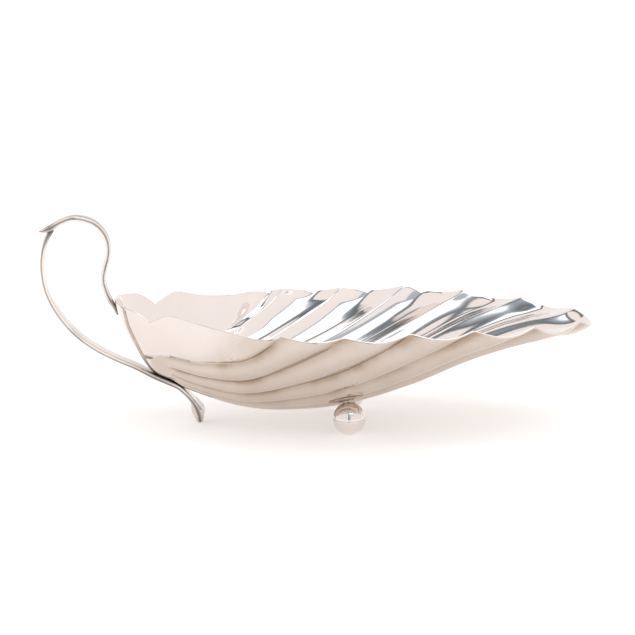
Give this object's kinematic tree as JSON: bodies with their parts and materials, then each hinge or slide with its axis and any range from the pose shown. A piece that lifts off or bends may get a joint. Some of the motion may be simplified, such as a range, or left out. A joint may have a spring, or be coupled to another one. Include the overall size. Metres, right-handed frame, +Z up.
{
  "type": "sauce boat",
  "caption": "Shallow leaf-shaped dish with radiating flutes, a looped strap handle that runs on as the rear foot, and ball feet under the middle.",
  "frame": {"origin": "on the surface that the dish stands on, below the middle of its bounding box", "axes": "+X from the handle towards the tip of the bowl, +Y to the dish's left, +Z up"},
  "size_m": [0.2301, 0.1156, 0.0875],
  "materials": {
    "bowl_silver": "polished silver with fine wear and light tarnish in the grooves",
    "strap_silver": "polished silver, darker along the reeds",
    "foot_silver": "polished silver with light tarnish at the solder joints"
  },
  "bodies": {
    "root": {"bowl": "bowl_silver", "upper_handle_strap": "strap_silver", "lower_handle_strap": "strap_silver", "left_foot_bracket": "foot_silver", "right_foot_bracket": "foot_silver", "left_ball_top": "foot_silver", "left_ball_base": "foot_silver", "right_ball_top": "foot_silver", "right_ball_base": "foot_silver"}
  },
  "joints": []
}
